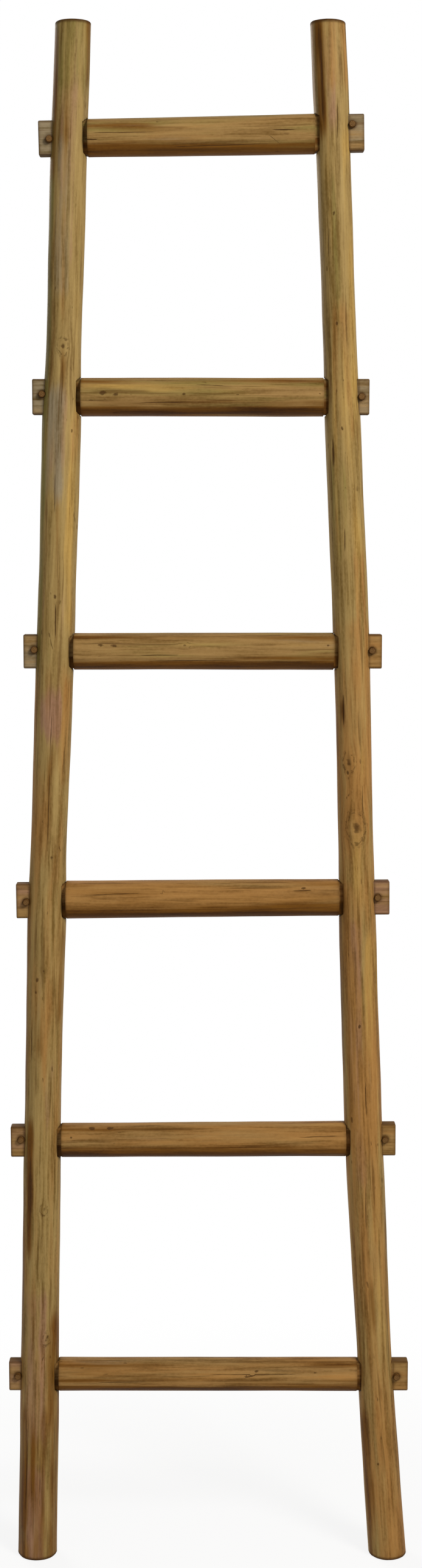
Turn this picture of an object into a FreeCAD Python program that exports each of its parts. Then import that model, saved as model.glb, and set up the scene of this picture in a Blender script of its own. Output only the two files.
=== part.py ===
import FreeCAD, Part
import math
import os

import Sketcher

# Blanket ladder of peeled round wood, in millimetres.
#
# Two tapering poles, the stiles, stand apart at the floor and draw together towards the top. Six
# rungs join them. All are peeled round wood, so that their rounds are made of narrow shaved flats,
# and a diameter is measured over the corners of the flats.
#
# Each end of a rung is cut down to a flat tenon that goes right through a mortise in its stile and
# stands out past it. There a round wooden peg, driven through the tenon from front to back against
# the stile, keeps it from drawing out. On the inner side the rung's square shoulder sits at the
# mouth of a shallow round seat in the stile.
#
# +Z is up, +X is to the right for someone who faces the ladder, and the front faces -Y. The origin
# is on the floor, under the middle of the ladder's box.

SIZES = {
    # the ladder as a whole: heights are above the floor
    "ladder_length": 1930,
    "first_rung_height": 242,
    "rung_spacing": 311,
    # where each stile's axis meets the floor and the top, to the right of the middle
    "left_foot_x": -223.3,
    "left_head_x": -162.5,
    "right_foot_x": 233.2,
    "right_head_x": 143.6,
    # the stiles' thickness at the floor and at the top, and the bevel round both sawn ends
    "left_foot_diameter": 50.6,
    "left_head_diameter": 42.8,
    "right_foot_diameter": 48.8,
    "right_head_diameter": 42,
    "stile_end_bevel": 2.5,
    # the shallow round seat at each rung, below the stile's inner side and wider than the rung
    "seat_depth": 5,
    "seat_gap": 0.8,
    # the tenons: the trim is what they lose of the rung's roundness above and below
    "tenon_thickness": 18,
    "tenon_trim": 1.8,
    "tenon_edge_bevel": 2.5,
    "tenon_end_bevel": 2,
    "mortise_gap": 0.3,
    # the rung's shoulder: how far it stands off the stile's inner side, and its bevelled rim
    "shoulder_stand_off": 0.5,
    "shoulder_bevel": 1.5,
    # the pegs: how far they stand out of both faces of the tenon, and their fits
    "peg_diameter": 8,
    "peg_stand_out": 5.5,
    "peg_hole_gap": 0.15,
    "peg_stile_gap": 0.3,
}

# What differs from rung to rung on a ladder made of grown wood, from the bottom rung up. Tilt is in
# degrees, and lifts the right end. Wander is how far the grown stile strays to the right of the
# straight line between its ends. The tenon's reach is counted from the stile's outer side, and the
# peg's rise from the middle of the tenon.
RUNG_SIZES = {
    "left_diameter": (42.3, 43.0, 47.6, 45.6, 46.6, 44.6),
    "right_diameter": (42.7, 44.4, 46.2, 46.0, 46.8, 47.2),
    "tilt": (0.0, 0.3, 0.5, 0.0, 0.0, 1.0),
    "left_wander": (-2.3, -5.8, -6.7, -4.0, -2.2, -1.2),
    "right_wander": (-6.2, -8.9, -6.0, -0.5, -0.9, 0.4),
    "left_reach": (14.3, 15.7, 15.1, 16.0, 14.4, 15.4),
    "right_reach": (17.4, 16.2, 17.6, 14.7, 12.0, 16.8),
    "left_peg_rise": (0.8, 3.4, -1.0, 2.3, 3.0, -2.0),
    "right_peg_rise": (0.0, 1.1, 1.0, 1.2, 0.0, 9.0),
}
RUNGS = range(1, 1 + len(RUNG_SIZES["tilt"]))
SIDES = ("left", "right")
OUTWARD = {"left": -1, "right": 1}
SHAVED_FLATS = 24

# a sketch's own origin and axes, and the points of a line or a circle, as constraints name them
ORIGIN_POINT = (-1, 1)
ACROSS, UP = -1, -2
START, END, CENTRE = 1, 2, 3
X_AXIS = FreeCAD.Vector(1, 0, 0)
Y_AXIS = FreeCAD.Vector(0, 1, 0)
Z_AXIS = FreeCAD.Vector(0, 0, 1)

doc = FreeCAD.newDocument("blanket_ladder")


# ---- the sheet of driving sizes ----

def fill_sheet():
    """Puts every driving size in the sheet, as a plain number with an alias."""
    sizes = dict(SIZES)
    for name, values in RUNG_SIZES.items():
        for rung, value in zip(RUNGS, values):
            sizes[f"rung_{rung}_{name}"] = value
    sheet = doc.addObject("Spreadsheet::Sheet", "sizes")
    for row, (alias, value) in enumerate(sizes.items(), start=1):
        sheet.set(f"A{row}", alias.replace("_", " "))
        sheet.set(f"B{row}", str(value))
        sheet.setAlias(f"B{row}", alias)
    doc.recompute()


fill_sheet()


# ---- places that follow from the sheet, as expressions ----

def rung_height(rung):
    """The height of a rung's axis at the middle of the ladder."""
    return f"(sizes.first_rung_height + {rung - 1} * sizes.rung_spacing)"


def between_ends(side, height, end_value):
    """A stile's size at a height, on the straight line between its foot and its head."""
    foot = f"sizes.{side}_foot_{end_value}"
    head = f"sizes.{side}_head_{end_value}"
    return f"({foot} + ({head} - {foot}) * {height} / sizes.ladder_length)"


def stile_radius(side, rung):
    return f"({between_ends(side, rung_height(rung), 'diameter')} / 2)"


def stile_axis(side, rung):
    return f"({between_ends(side, rung_height(rung), 'x')} + sizes.rung_{rung}_{side}_wander)"


def tilt(rung):
    return f"sizes.rung_{rung}_tilt"


def shoulder_place(side, rung):
    """Where a rung's barrel ends: just off the inner side of its stile."""
    off = f"({stile_radius(side, rung)} + sizes.shoulder_stand_off)"
    return f"({stile_axis(side, rung)} - {OUTWARD[side]} * {off})"


def seat_place(side, rung):
    """The floor of the seat that is cut into the inner side of the stile."""
    off = f"({stile_radius(side, rung)} - sizes.seat_depth)"
    return f"({stile_axis(side, rung)} - {OUTWARD[side]} * {off})"


def tenon_length(side, rung):
    """From the shoulder, through the stile, to the tenon's end."""
    through = f"2 * {stile_radius(side, rung)} + sizes.shoulder_stand_off"
    return f"({through} + sizes.rung_{rung}_{side}_reach)"


def tenon_height(side, rung):
    return f"(sizes.rung_{rung}_{side}_diameter - 2 * sizes.tenon_trim)"


def peg_place(side, rung):
    """The peg lies against the stile beside the mortise, where the round of the stile falls away."""
    half_mortise = "(sizes.tenon_thickness / 2 + sizes.mortise_gap)"
    stile_edge = f"sqrt({stile_radius(side, rung)}^2 - {half_mortise}^2)"
    off = f"({stile_edge} + sizes.peg_stile_gap + sizes.peg_diameter / 2)"
    return f"({stile_axis(side, rung)} + {OUTWARD[side]} * {off})"


def peg_rise(side, rung):
    return f"sizes.rung_{rung}_{side}_peg_rise"


# ---- sketches and features ----
# Each outline is first drawn near its size and place, and then its constraints set the true ones.

def new_body(name):
    body = doc.addObject("PartDesign::Body", name)
    body.Label = name
    return body


def new_sketch(body, name, plane_role, offset=None, turn=None):
    """A sketch on one of the body's origin planes, moved and tilted in the plane's own frame."""
    sketch = body.newObject("Sketcher::SketchObject", name)
    planes = [plane for plane in body.Origin.OriginFeatures if plane.Role == plane_role]
    sketch.AttachmentSupport = [(planes[0], "")]
    sketch.MapMode = "FlatFace"
    sketch.AttachmentOffset = FreeCAD.Placement(FreeCAD.Vector(), FreeCAD.Rotation(X_AXIS, 0))
    for axis, expression in (offset or {}).items():
        sketch.setExpression(f"AttachmentOffset.Base.{axis}", expression)
    if turn:
        sketch.setExpression("AttachmentOffset.Rotation.Angle", turn)
    return sketch


def constrain(sketch, name, expression, *constraint):
    """Adds one named dimension that follows an expression."""
    index = sketch.addConstraint(Sketcher.Constraint(*constraint))
    sketch.renameConstraint(index, name)
    sketch.setExpression(f"Constraints.{name}", expression)


def draw_circle(sketch, diameter, centre=None, near=(0, 0)):
    """A circle on the sketch's origin, or round a centre given as two expressions, near a point."""
    first_radius = 10
    x, y = near
    circle = sketch.addGeometry(Part.Circle(FreeCAD.Vector(x, y, 0), Z_AXIS, first_radius))
    if centre is None:
        sketch.addConstraint(Sketcher.Constraint("Coincident", circle, CENTRE, *ORIGIN_POINT))
    else:
        across, up = centre
        constrain(sketch, f"across_{circle}", across, "DistanceX", *ORIGIN_POINT, circle, CENTRE, x)
        constrain(sketch, f"up_{circle}", up, "DistanceY", *ORIGIN_POINT, circle, CENTRE, y)
    constrain(sketch, f"diameter_{circle}", diameter, "Diameter", circle, 2 * first_radius)


def draw_shaved_round(sketch, diameter):
    """The outline of peeled wood, centred on the sketch's origin: a ring of equal flats."""
    first_radius = 23
    angles = [2 * math.pi * step / SHAVED_FLATS for step in range(SHAVED_FLATS)]
    corners = [FreeCAD.Vector(math.cos(a), math.sin(a), 0) * first_radius for a in angles]
    flats = draw_ring_of_lines(sketch, corners)
    guide = sketch.addGeometry(Part.Circle(FreeCAD.Vector(), Z_AXIS, first_radius), True)
    rules = [Sketcher.Constraint("Coincident", guide, CENTRE, *ORIGIN_POINT)]
    rules += [Sketcher.Constraint("PointOnObject", flat, START, guide) for flat in flats]
    rules += [Sketcher.Constraint("Equal", flats[0], flat) for flat in flats[1:]]
    rules += [Sketcher.Constraint("PointOnObject", flats[0], START, ACROSS)]
    sketch.addConstraint(rules)
    constrain(sketch, "diameter", diameter, "Diameter", guide, 2 * first_radius)


def draw_ring_of_lines(sketch, corners):
    """Lines from corner to corner and back to the first, joined at their ends."""
    lines = [sketch.addGeometry(Part.LineSegment(corner, after))
             for corner, after in zip(corners, corners[1:] + corners[:1])]
    sketch.addConstraint([Sketcher.Constraint("Coincident", line, END, after, START)
                          for line, after in zip(lines, lines[1:] + lines[:1])])
    return lines


def draw_bevelled_rectangle(sketch, width, height, corner_bevel):
    """An upright rectangle with its corners cut off, centred on the sketch's origin."""
    half_w, half_h, cut_off = 9, 20, 2
    half_ring = [(cut_off - half_w, half_h), (half_w - cut_off, half_h),
                 (half_w, half_h - cut_off), (half_w, cut_off - half_h)]
    corners = [FreeCAD.Vector(x * half, y * half, 0) for half in (1, -1) for x, y in half_ring]
    lines = draw_ring_of_lines(sketch, corners)
    top, right, bottom, left = lines[0::2]
    sketch.addConstraint([
        Sketcher.Constraint("Symmetric", top, START, top, END, UP),
        Sketcher.Constraint("Symmetric", right, START, right, END, ACROSS),
        Sketcher.Constraint("Symmetric", top, START, bottom, START, *ORIGIN_POINT),
        Sketcher.Constraint("Symmetric", top, END, bottom, END, *ORIGIN_POINT),
        Sketcher.Constraint("Symmetric", right, START, left, START, *ORIGIN_POINT),
        Sketcher.Constraint("Symmetric", right, END, left, END, *ORIGIN_POINT),
    ])
    constrain(sketch, "width", width, "DistanceX", left, START, right, START, 2 * half_w)
    constrain(sketch, "height", height, "DistanceY", bottom, START, top, START, 2 * half_h)
    constrain(sketch, "bevel_across", corner_bevel, "DistanceX", top, END, right, START, cut_off)
    constrain(sketch, "bevel_down", corner_bevel, "DistanceY", right, START, top, END, cut_off)


def new_feature(body, kind, name, profile):
    feature = body.newObject(f"PartDesign::{kind}", name)
    feature.Profile = profile
    return feature


def loft(body, name, sketches):
    feature = new_feature(body, "AdditiveLoft", name, sketches[0])
    feature.Sections = sketches[1:]
    feature.Ruled = True
    doc.recompute()
    return feature


def pad(body, name, sketch, length, against_normal=False, both_ways=False):
    feature = new_feature(body, "Pad", name, sketch)
    feature.Reversed = against_normal
    if both_ways:
        feature.SideType = "Symmetric"
    feature.setExpression("Length", length)
    doc.recompute()


def check_removed(before, feature):
    """Stops if a cut took less than a cubic millimetre away, because it then points the wrong way."""
    if feature.Shape.Volume > before - 1:
        raise RuntimeError(f"{feature.Name} removes nothing")


def bevel(body, name, size, at_edge):
    """A chamfer along every edge of the body's tip for which at_edge is true."""
    base = body.Tip
    edges = [f"Edge{i}" for i, edge in enumerate(base.Shape.Edges, start=1) if at_edge(edge)]
    feature = body.newObject("PartDesign::Chamfer", name)
    feature.Base = (base, edges)
    feature.setExpression("Size", size)
    doc.recompute()


def is_on_end_face(edge, box):
    """Whether an edge lies square to X, at one of the box's two ends."""
    flatness, nearness = 0.01, 0.05
    low, high = edge.BoundBox.XMin, edge.BoundBox.XMax
    return high - low < flatness and min(abs(low - box.XMin), abs(low - box.XMax)) < nearness


# ---- the two stiles ----

def draw_stile_sections(body, side):
    """The pole's rounds from the floor to the top: its bevelled ends, and its bends at the rungs."""
    bevel_size, top = "sizes.stile_end_bevel", "sizes.ladder_length"
    levels = [("foot_face", "0", f"- 2 * {bevel_size}"), ("foot", bevel_size, "")]
    levels += [(f"round_{rung}", rung_height(rung), "") for rung in RUNGS]
    levels += [("head", f"({top} - {bevel_size})", ""), ("head_face", top, f"- 2 * {bevel_size}")]
    bends = {f"round_{rung}": stile_axis(side, rung) for rung in RUNGS}
    sections = []
    for name, height, narrower in levels:
        axis = bends.get(name, between_ends(side, height, "x"))
        sketch = new_sketch(body, f"{side}_{name}", "XY_Plane", {"x": axis, "z": height})
        draw_shaved_round(sketch, f"{between_ends(side, height, 'diameter')} {narrower}")
        sections.append(sketch)
    return sections


def add_mortise_core(cores, side, rung):
    """The wood that comes out of the slot for the tenon, tilted with the rung and a whole radius
    longer than the pole is thick on both sides."""
    height = f"{rung_height(rung)} + {stile_axis(side, rung)} * tan({tilt(rung)})"
    sketch = new_sketch(cores, f"{side}_mortise_{rung}", "YZ_Plane",
                        {"y": height, "z": stile_axis(side, rung)}, turn=f"-{tilt(rung)}")
    draw_bevelled_rectangle(sketch, "sizes.tenon_thickness + 2 * sizes.mortise_gap",
                            f"{tenon_height(side, rung)} + 2 * sizes.mortise_gap",
                            "sizes.tenon_edge_bevel")
    pad(cores, f"{side}_mortise_core_{rung}", sketch, f"4 * {stile_radius(side, rung)}",
        both_ways=True)


def add_seat_core(cores, side, rung):
    """The wood that comes out of the round seat, from its floor towards the other stile."""
    height = f"{rung_height(rung)} + {seat_place(side, rung)} * tan({tilt(rung)})"
    sketch = new_sketch(cores, f"{side}_seat_{rung}", "YZ_Plane",
                        {"y": height, "z": seat_place(side, rung)}, turn=f"-{tilt(rung)}")
    draw_circle(sketch, f"sizes.rung_{rung}_{side}_diameter + 2 * sizes.seat_gap")
    pad(cores, f"{side}_seat_core_{rung}", sketch, f"2 * {stile_radius(side, rung)}",
        against_normal=side == "right")


def make_stile(side):
    """The pole, less the cores of its six mortises and six seats."""
    body = new_body(f"{side}_stile")
    pole = loft(body, f"{side}_pole", draw_stile_sections(body, side))
    cores = new_body(f"{side}_cores")
    cores.AllowCompound = True
    for rung in RUNGS:
        add_mortise_core(cores, side, rung)
        add_seat_core(cores, side, rung)
    cutting = body.newObject("PartDesign::Boolean", f"{side}_cutting")
    cutting.Type = "Cut"
    cutting.setObjects([cores])
    doc.recompute()
    check_removed(pole.Shape.Volume, cutting)
    return body


# ---- the rungs ----

def make_barrel(body, rung):
    """The round of the rung between its shoulders, a little thicker at one end, with bevelled rims."""
    sections = []
    for side in SIDES:
        diameter = f"sizes.rung_{rung}_{side}_diameter"
        inwards = f"{shoulder_place(side, rung)} - {OUTWARD[side]} * sizes.shoulder_bevel"
        ends = [("face", shoulder_place(side, rung), f"{diameter} - 2 * sizes.shoulder_bevel"),
                ("round", inwards, diameter)]
        for name, place, size in ends if side == "left" else reversed(ends):
            sketch = new_sketch(body, f"rung_{rung}_{side}_{name}", "YZ_Plane", {"z": place})
            draw_shaved_round(sketch, size)
            sections.append(sketch)
    loft(body, f"rung_{rung}_barrel", sections)


def add_tenon(body, side, rung):
    sketch = new_sketch(body, f"rung_{rung}_{side}_tenon_face", "YZ_Plane",
                        {"z": shoulder_place(side, rung)})
    draw_bevelled_rectangle(sketch, "sizes.tenon_thickness", tenon_height(side, rung),
                            "sizes.tenon_edge_bevel")
    pad(body, f"rung_{rung}_{side}_tenon", sketch, tenon_length(side, rung),
        against_normal=side == "left")


def drill_peg_holes(body, rung):
    """One hole through each tenon from front to back."""
    sketch = new_sketch(body, f"rung_{rung}_peg_holes", "XZ_Plane")
    for side in SIDES:
        draw_circle(sketch, "sizes.peg_diameter + 2 * sizes.peg_hole_gap",
                    centre=(peg_place(side, rung), peg_rise(side, rung)), near=(200 * OUTWARD[side], 5))
    before = body.Tip.Shape.Volume
    holes = new_feature(body, "Pocket", f"rung_{rung}_peg_holes_cut", sketch)
    holes.Type = "ThroughAll"
    holes.SideType = "Symmetric"
    doc.recompute()
    check_removed(before, holes)


def make_rung(rung):
    body = new_body(f"rung_{rung}")
    make_barrel(body, rung)
    for side in SIDES:
        add_tenon(body, side, rung)
    drill_peg_holes(body, rung)
    box = body.Tip.Shape.BoundBox
    bevel(body, f"rung_{rung}_tenon_bevels", "sizes.tenon_end_bevel",
          lambda edge: is_on_end_face(edge, box))
    body.Placement = FreeCAD.Placement(FreeCAD.Vector(), FreeCAD.Rotation(Y_AXIS, 0))
    body.setExpression("Placement.Base.z", rung_height(rung))
    body.setExpression("Placement.Rotation.Angle", f"-{tilt(rung)}")
    return body


# ---- the pegs ----

def make_peg(side, rung):
    """A round peg along Y, sawn square, in its place in the tilted tenon."""
    body = new_body(f"peg_{rung}_{side}")
    sketch = new_sketch(body, f"peg_{rung}_{side}_round", "XZ_Plane")
    draw_circle(sketch, "sizes.peg_diameter")
    pad(body, f"peg_{rung}_{side}_length", sketch, "sizes.tenon_thickness + 2 * sizes.peg_stand_out",
        both_ways=True)
    along, up = peg_place(side, rung), peg_rise(side, rung)
    level, lift = f"cos({tilt(rung)})", f"sin({tilt(rung)})"
    body.setExpression("Placement.Base.x", f"{along} * {level} - {up} * {lift}")
    body.setExpression("Placement.Base.z", f"{rung_height(rung)} + {along} * {lift} + {up} * {level}")
    return body


# ---- the assembly ----

def check_document(pieces):
    """Stops before anything is written if a feature failed or a piece isn't one sound solid."""
    for item in doc.Objects:
        if "Invalid" in item.State or "Error" in item.State:
            raise RuntimeError(f"{item.Name} failed: {item.State}")
    for piece in pieces:
        shape = piece.Shape
        if shape.isNull() or not shape.isValid() or len(shape.Solids) != 1:
            raise RuntimeError(f"{piece.Label} isn't one sound solid")


ladder = [make_stile(side) for side in SIDES]
ladder += [make_rung(rung) for rung in RUNGS]
ladder += [make_peg(side, rung) for rung in RUNGS for side in SIDES]
doc.recompute()
check_document(ladder)

os.makedirs("parts", exist_ok=True)
for piece in ladder:
    piece.Shape.exportStep(f"parts/{piece.Label}.step")
    print(f"{piece.Label}: {piece.Shape.Volume / 1000:.1f} cm3")
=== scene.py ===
import math

import bpy
import numpy as np
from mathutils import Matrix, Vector


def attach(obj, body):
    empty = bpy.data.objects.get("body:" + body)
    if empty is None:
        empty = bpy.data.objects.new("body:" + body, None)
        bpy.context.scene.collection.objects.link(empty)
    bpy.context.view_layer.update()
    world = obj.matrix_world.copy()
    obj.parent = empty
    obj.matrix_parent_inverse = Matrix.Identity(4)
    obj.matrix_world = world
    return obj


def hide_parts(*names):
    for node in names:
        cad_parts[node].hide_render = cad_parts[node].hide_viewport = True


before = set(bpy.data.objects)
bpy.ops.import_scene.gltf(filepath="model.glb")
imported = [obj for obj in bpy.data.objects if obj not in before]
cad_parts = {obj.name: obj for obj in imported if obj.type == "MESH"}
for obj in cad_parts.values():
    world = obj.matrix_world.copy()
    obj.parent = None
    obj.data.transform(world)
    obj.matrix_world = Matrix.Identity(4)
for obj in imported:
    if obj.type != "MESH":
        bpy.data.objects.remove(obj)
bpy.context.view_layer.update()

# A blanket ladder of peeled poles, in metres, upright with its feet on the floor. Its front faces
# -Y, +X is to the right and +Z is up.

# ---- The studio ----
# The ladder stands on a plain pale floor in front of white. Soft light comes from the upper right
# in front, so the left edges of the poles and the undersides of the rungs fall into shade.

scene = bpy.context.scene
scene.view_settings.view_transform = "Standard"

EYE = (0.0033, -2.682, 1.324)
AIM = (0.0033, 0.0, 1.009)


def turn_to(name, data, place, aim):
    """Puts a camera or a lamp in its place, turned to its aim."""
    thing = bpy.data.objects.new(name, data)
    scene.collection.objects.link(thing)
    thing.location = place
    thing.rotation_mode = "QUATERNION"
    thing.rotation_quaternion = (Vector(aim) - Vector(place)).to_track_quat("-Z", "Y")
    return thing


camera_data = bpy.data.cameras.new("front_camera")
camera_data.sensor_width = 36
camera_data.lens = 49.58
scene.camera = turn_to("front_camera", camera_data, EYE, AIM)


class Wire:
    """One output of a shader's node. Sums on it add Math nodes, and add() puts in any other node."""

    def __init__(self, tree, socket=None):
        self.tree, self.socket = tree, socket

    def add(self, kind, settings=None, sockets=None, output=0):
        node = self.tree.nodes.new(kind)
        for name, value in (settings or {}).items():
            if name == "stops":
                self.set_stops(node.color_ramp, value)
            else:
                setattr(node, name, value)
        for key, value in (sockets or {}).items():
            if isinstance(value, Wire):
                self.tree.links.new(value.socket, node.inputs[key])
            else:
                node.inputs[key].default_value = value
        return Wire(self.tree, node.outputs[output])

    @staticmethod
    def set_stops(ramp, stops):
        while len(ramp.elements) < len(stops):
            ramp.elements.new(0.5)
        for element, (position, colour) in zip(ramp.elements, stops):
            element.position, element.color = position, colour

    def math(self, operation, *values):
        """A Math node on the values given, or on this one alone."""
        return self.add("ShaderNodeMath", {"operation": operation}, dict(enumerate(values or (self,))))

    def __add__(self, other):
        return self.math("ADD", self, other)

    def __sub__(self, other):
        return self.math("SUBTRACT", self, other)

    def __rsub__(self, other):
        return self.math("SUBTRACT", other, self)

    def __mul__(self, other):
        return self.math("MULTIPLY", self, other)

    def __abs__(self):
        return self.math("ABSOLUTE")

    __radd__, __rmul__ = __add__, __mul__

    def between(self, low, high):
        """0 below low and 1 above high, with a soft step. High may lie below low."""
        return self.add("ShaderNodeMapRange", {"interpolation_type": "SMOOTHSTEP"},
                        {"Value": self, "From Min": low, "From Max": high})

    def tint(self, other, share):
        """This colour mixed with a share of another one."""
        return self.add("ShaderNodeMix", {"data_type": "RGBA"}, {0: share, 6: self, 7: other}, output=2)


def strongest(first, *others):
    """The largest of several values."""
    for other in others:
        first = first.math("MAXIMUM", first, other)
    return first


def paint(code):
    """A colour written as a painter's hexadecimal code, as the shader counts it."""
    parts = [int(code[i:i + 2], 16) / 255 for i in (1, 3, 5)]
    return tuple(p / 12.92 if p <= 0.04045 else ((p + 0.055) / 1.055) ** 2.4 for p in parts) + (1,)


def new_material(name):
    material = bpy.data.materials.new(name)
    material.use_nodes = True
    tree = material.node_tree
    return material, Wire(tree), tree.nodes["Principled BSDF"], tree.nodes["Material Output"]


def white_to_the_eye(start):
    """1 on rays that the eye, a reflection or a clear piece sends, and 0 on those of the light."""
    return strongest(*[start.add("ShaderNodeLightPath", output=name)
                       for name in ("Is Camera Ray", "Is Glossy Ray", "Is Transmission Ray")])


WHITE = (1, 1, 1, 1)
ROOM_COLOUR, ROOM_LIGHT = (1, 0.985, 0.96, 1), 0.23

world = bpy.data.worlds.new("studio")
scene.world = world
world.use_nodes = True
world_start = Wire(world.node_tree)
room = world_start.add("ShaderNodeBackground", None, {"Color": ROOM_COLOUR, "Strength": ROOM_LIGHT})
white = world_start.add("ShaderNodeBackground", None, {"Color": WHITE, "Strength": 1.0})
seen = world_start.add("ShaderNodeMixShader", None, {0: white_to_the_eye(world_start), 1: room, 2: white})
world.node_tree.links.new(seen.socket, world.node_tree.nodes["World Output"].inputs["Surface"])

FLOOR_HALF = 12.0
# near the feet a share of the lit floor shows, with its shadow, and between these distances it fades
SHADOW_SHARE, SHADOW_FADES = 0.14, (0.2, 0.9)
floor_mesh = bpy.data.meshes.new("floor")
floor_mesh.from_pydata([(-FLOOR_HALF, -FLOOR_HALF, 0), (FLOOR_HALF, -FLOOR_HALF, 0),
                        (FLOOR_HALF, FLOOR_HALF, 0), (-FLOOR_HALF, FLOOR_HALF, 0)], [], [(0, 1, 2, 3)])
floor = bpy.data.objects.new("floor", floor_mesh)
scene.collection.objects.link(floor)
floor_finish, start, floor_shader, floor_output = new_material("pale_floor")
floor_shader.inputs["Base Color"].default_value = (0.8, 0.8, 0.79, 1)
floor_shader.inputs["Roughness"].default_value = 0.9
floor_shader.inputs["Specular IOR Level"].default_value = 0.1
spot = start.add("ShaderNodeTexCoord", output="Object")
from_feet = spot.add("ShaderNodeVectorMath", {"operation": "LENGTH"}, {0: spot}, output="Value")
fade = from_feet.between(*SHADOW_FADES) * SHADOW_SHARE + (1 - SHADOW_SHARE)
glow = start.add("ShaderNodeEmission", None, {"Color": WHITE, "Strength": 1.0})
lit = Wire(floor_finish.node_tree, floor_shader.outputs[0])
bright = start.add("ShaderNodeMixShader", None, {0: white_to_the_eye(start) * fade, 1: lit, 2: glow})
floor_finish.node_tree.links.new(bright.socket, floor_output.inputs["Surface"])
floor_mesh.materials.append(floor_finish)


def soft_lamp(name, place, aim, size, watts, colour):
    data = bpy.data.lights.new(name, "AREA")
    data.shape, data.size, data.energy, data.color = "DISK", size, watts, colour
    turn_to(name, data, place, aim)


soft_lamp("key", place=(2.1, -2.6, 3.3), aim=(0, 0, 1.0), size=1.4, watts=137, colour=(1, 0.975, 0.94))
soft_lamp("fill", place=(-2.4, -3.0, 1.2), aim=(0, 0, 0.9), size=2.2, watts=13, colour=(0.97, 0.98, 1))
soft_lamp("back", place=(-1.6, 2.4, 2.6), aim=(0, 0, 1.0), size=1.6, watts=45, colour=(1, 0.98, 0.95))


# ---- The two stiles ----
# Each is a peeled pole of natural round wood, thicker at the foot, a little crooked, with knots and
# drying checks. It is sawn square at both ends. Six mortises go through it for the rungs' tenons,
# and each has a shallow round seat on the inner side.

BOTH_SIDES = ("left", "right")
RUNGS = range(1, 7)
LADDER_LENGTH = 1.93
FIRST_RUNG, RUNG_SPACING = 0.242, 0.311
RUNG_TILT = (0.0, 0.3, 0.5, 0.0, 0.0, 1.0)
RUNG_THICKNESS = {
    "left": (0.0423, 0.0430, 0.0476, 0.0456, 0.0466, 0.0446),
    "right": (0.0427, 0.0444, 0.0462, 0.0460, 0.0468, 0.0472),
}
STILE_ENDS = {"left": (-0.2233, -0.1625), "right": (0.2332, 0.1436)}
STILE_ENDS_THICKNESS = {"left": (0.0506, 0.0428), "right": (0.0488, 0.0420)}
STILE_WANDER = {
    "left": (-0.0023, -0.0058, -0.0067, -0.0040, -0.0022, -0.0012),
    "right": (-0.0062, -0.0089, -0.0060, -0.0005, -0.0009, 0.0004),
}
# the grown poles' thickness along their height, foot first
STILE_GIRTH = {
    "left": ((0.0, 0.0505), (0.124, 0.0499), (0.206, 0.0503), (0.288, 0.0487), (0.450, 0.0473),
             (0.522, 0.0477), (0.610, 0.0460), (0.768, 0.0474), (0.838, 0.0483), (0.923, 0.0450),
             (1.077, 0.0468), (1.145, 0.0472), (1.228, 0.0467), (1.378, 0.0474), (1.459, 0.0478),
             (1.525, 0.0436), (1.671, 0.0439), (1.829, 0.0437), (1.93, 0.0429)),
    "right": ((0.0, 0.0487), (0.124, 0.0473), (0.206, 0.0460), (0.288, 0.0440), (0.369, 0.0457),
              (0.450, 0.0474), (0.522, 0.0483), (0.610, 0.0481), (0.689, 0.0478), (0.768, 0.0469),
              (0.838, 0.0463), (0.923, 0.0442), (1.077, 0.0436), (1.145, 0.0440), (1.228, 0.0444),
              (1.378, 0.0441), (1.459, 0.0446), (1.525, 0.0414), (1.671, 0.0410), (1.764, 0.0408),
              (1.829, 0.0424), (1.93, 0.0422)),
}
OUTWARD = {"left": -1, "right": 1}
# the seats fit more closely here than in the solids, so that no line of the ground shows in them
SEAT_DEPTH, SEEN_SEAT_GAP = 0.005, 0.0003
MORTISE_GAP, SHOULDER_GAP = 0.0003, 0.0005
TENON_THICKNESS, TENON_TRIM = 0.018, 0.0018
# points that are closer than this lie in one plane
SAME_PLACE = 1e-5


def rung_height(rung, x=0.0):
    tilt = math.radians(RUNG_TILT[rung - 1])
    return FIRST_RUNG + (rung - 1) * RUNG_SPACING + x * math.tan(tilt)


def stile_axis(side, rung):
    foot, head = STILE_ENDS[side]
    return foot + (head - foot) * rung_height(rung) / LADDER_LENGTH + STILE_WANDER[side][rung - 1]


def stile_radius(side, rung):
    foot, head = STILE_ENDS_THICKNESS[side]
    return (foot + (head - foot) * rung_height(rung) / LADDER_LENGTH) / 2


def rung_radius(side, rung):
    return RUNG_THICKNESS[side][rung - 1] / 2


def tenon_half_height(side, rung):
    return rung_radius(side, rung) - TENON_TRIM


def smooth_line(places, values, at):
    """Values at the places asked for, on a smooth line through those given."""
    places, values = np.array(places), np.array(values)
    slopes = np.gradient(values, places)
    index = np.clip(np.searchsorted(places, at) - 1, 0, len(places) - 2)
    width = places[index + 1] - places[index]
    t = (at - places[index]) / width
    start, end = values[index], values[index + 1]
    return ((2 * t**3 - 3 * t**2 + 1) * start + (t**3 - 2 * t**2 + t) * width * slopes[index]
            + (3 * t**2 - 2 * t**3) * end + (t**3 - t**2) * width * slopes[index + 1])


def worn_ends(along, radius, wear):
    """Adds the rings of a worn, rounded edge and a sawn face at both ends of a pole."""
    turn = np.radians([0, 22, 45, 68, 90])
    inset, drop = wear * (1 - np.cos(turn)), wear * (1 - np.sin(turn))
    length = along[-1]
    keep = (along > wear) & (along < length - wear)
    ends = np.concatenate([drop[::-1], along[keep], length - drop])
    rounds = np.concatenate([radius[0] - inset[::-1], radius[keep], radius[-1] - inset])
    return ends, rounds


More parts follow.
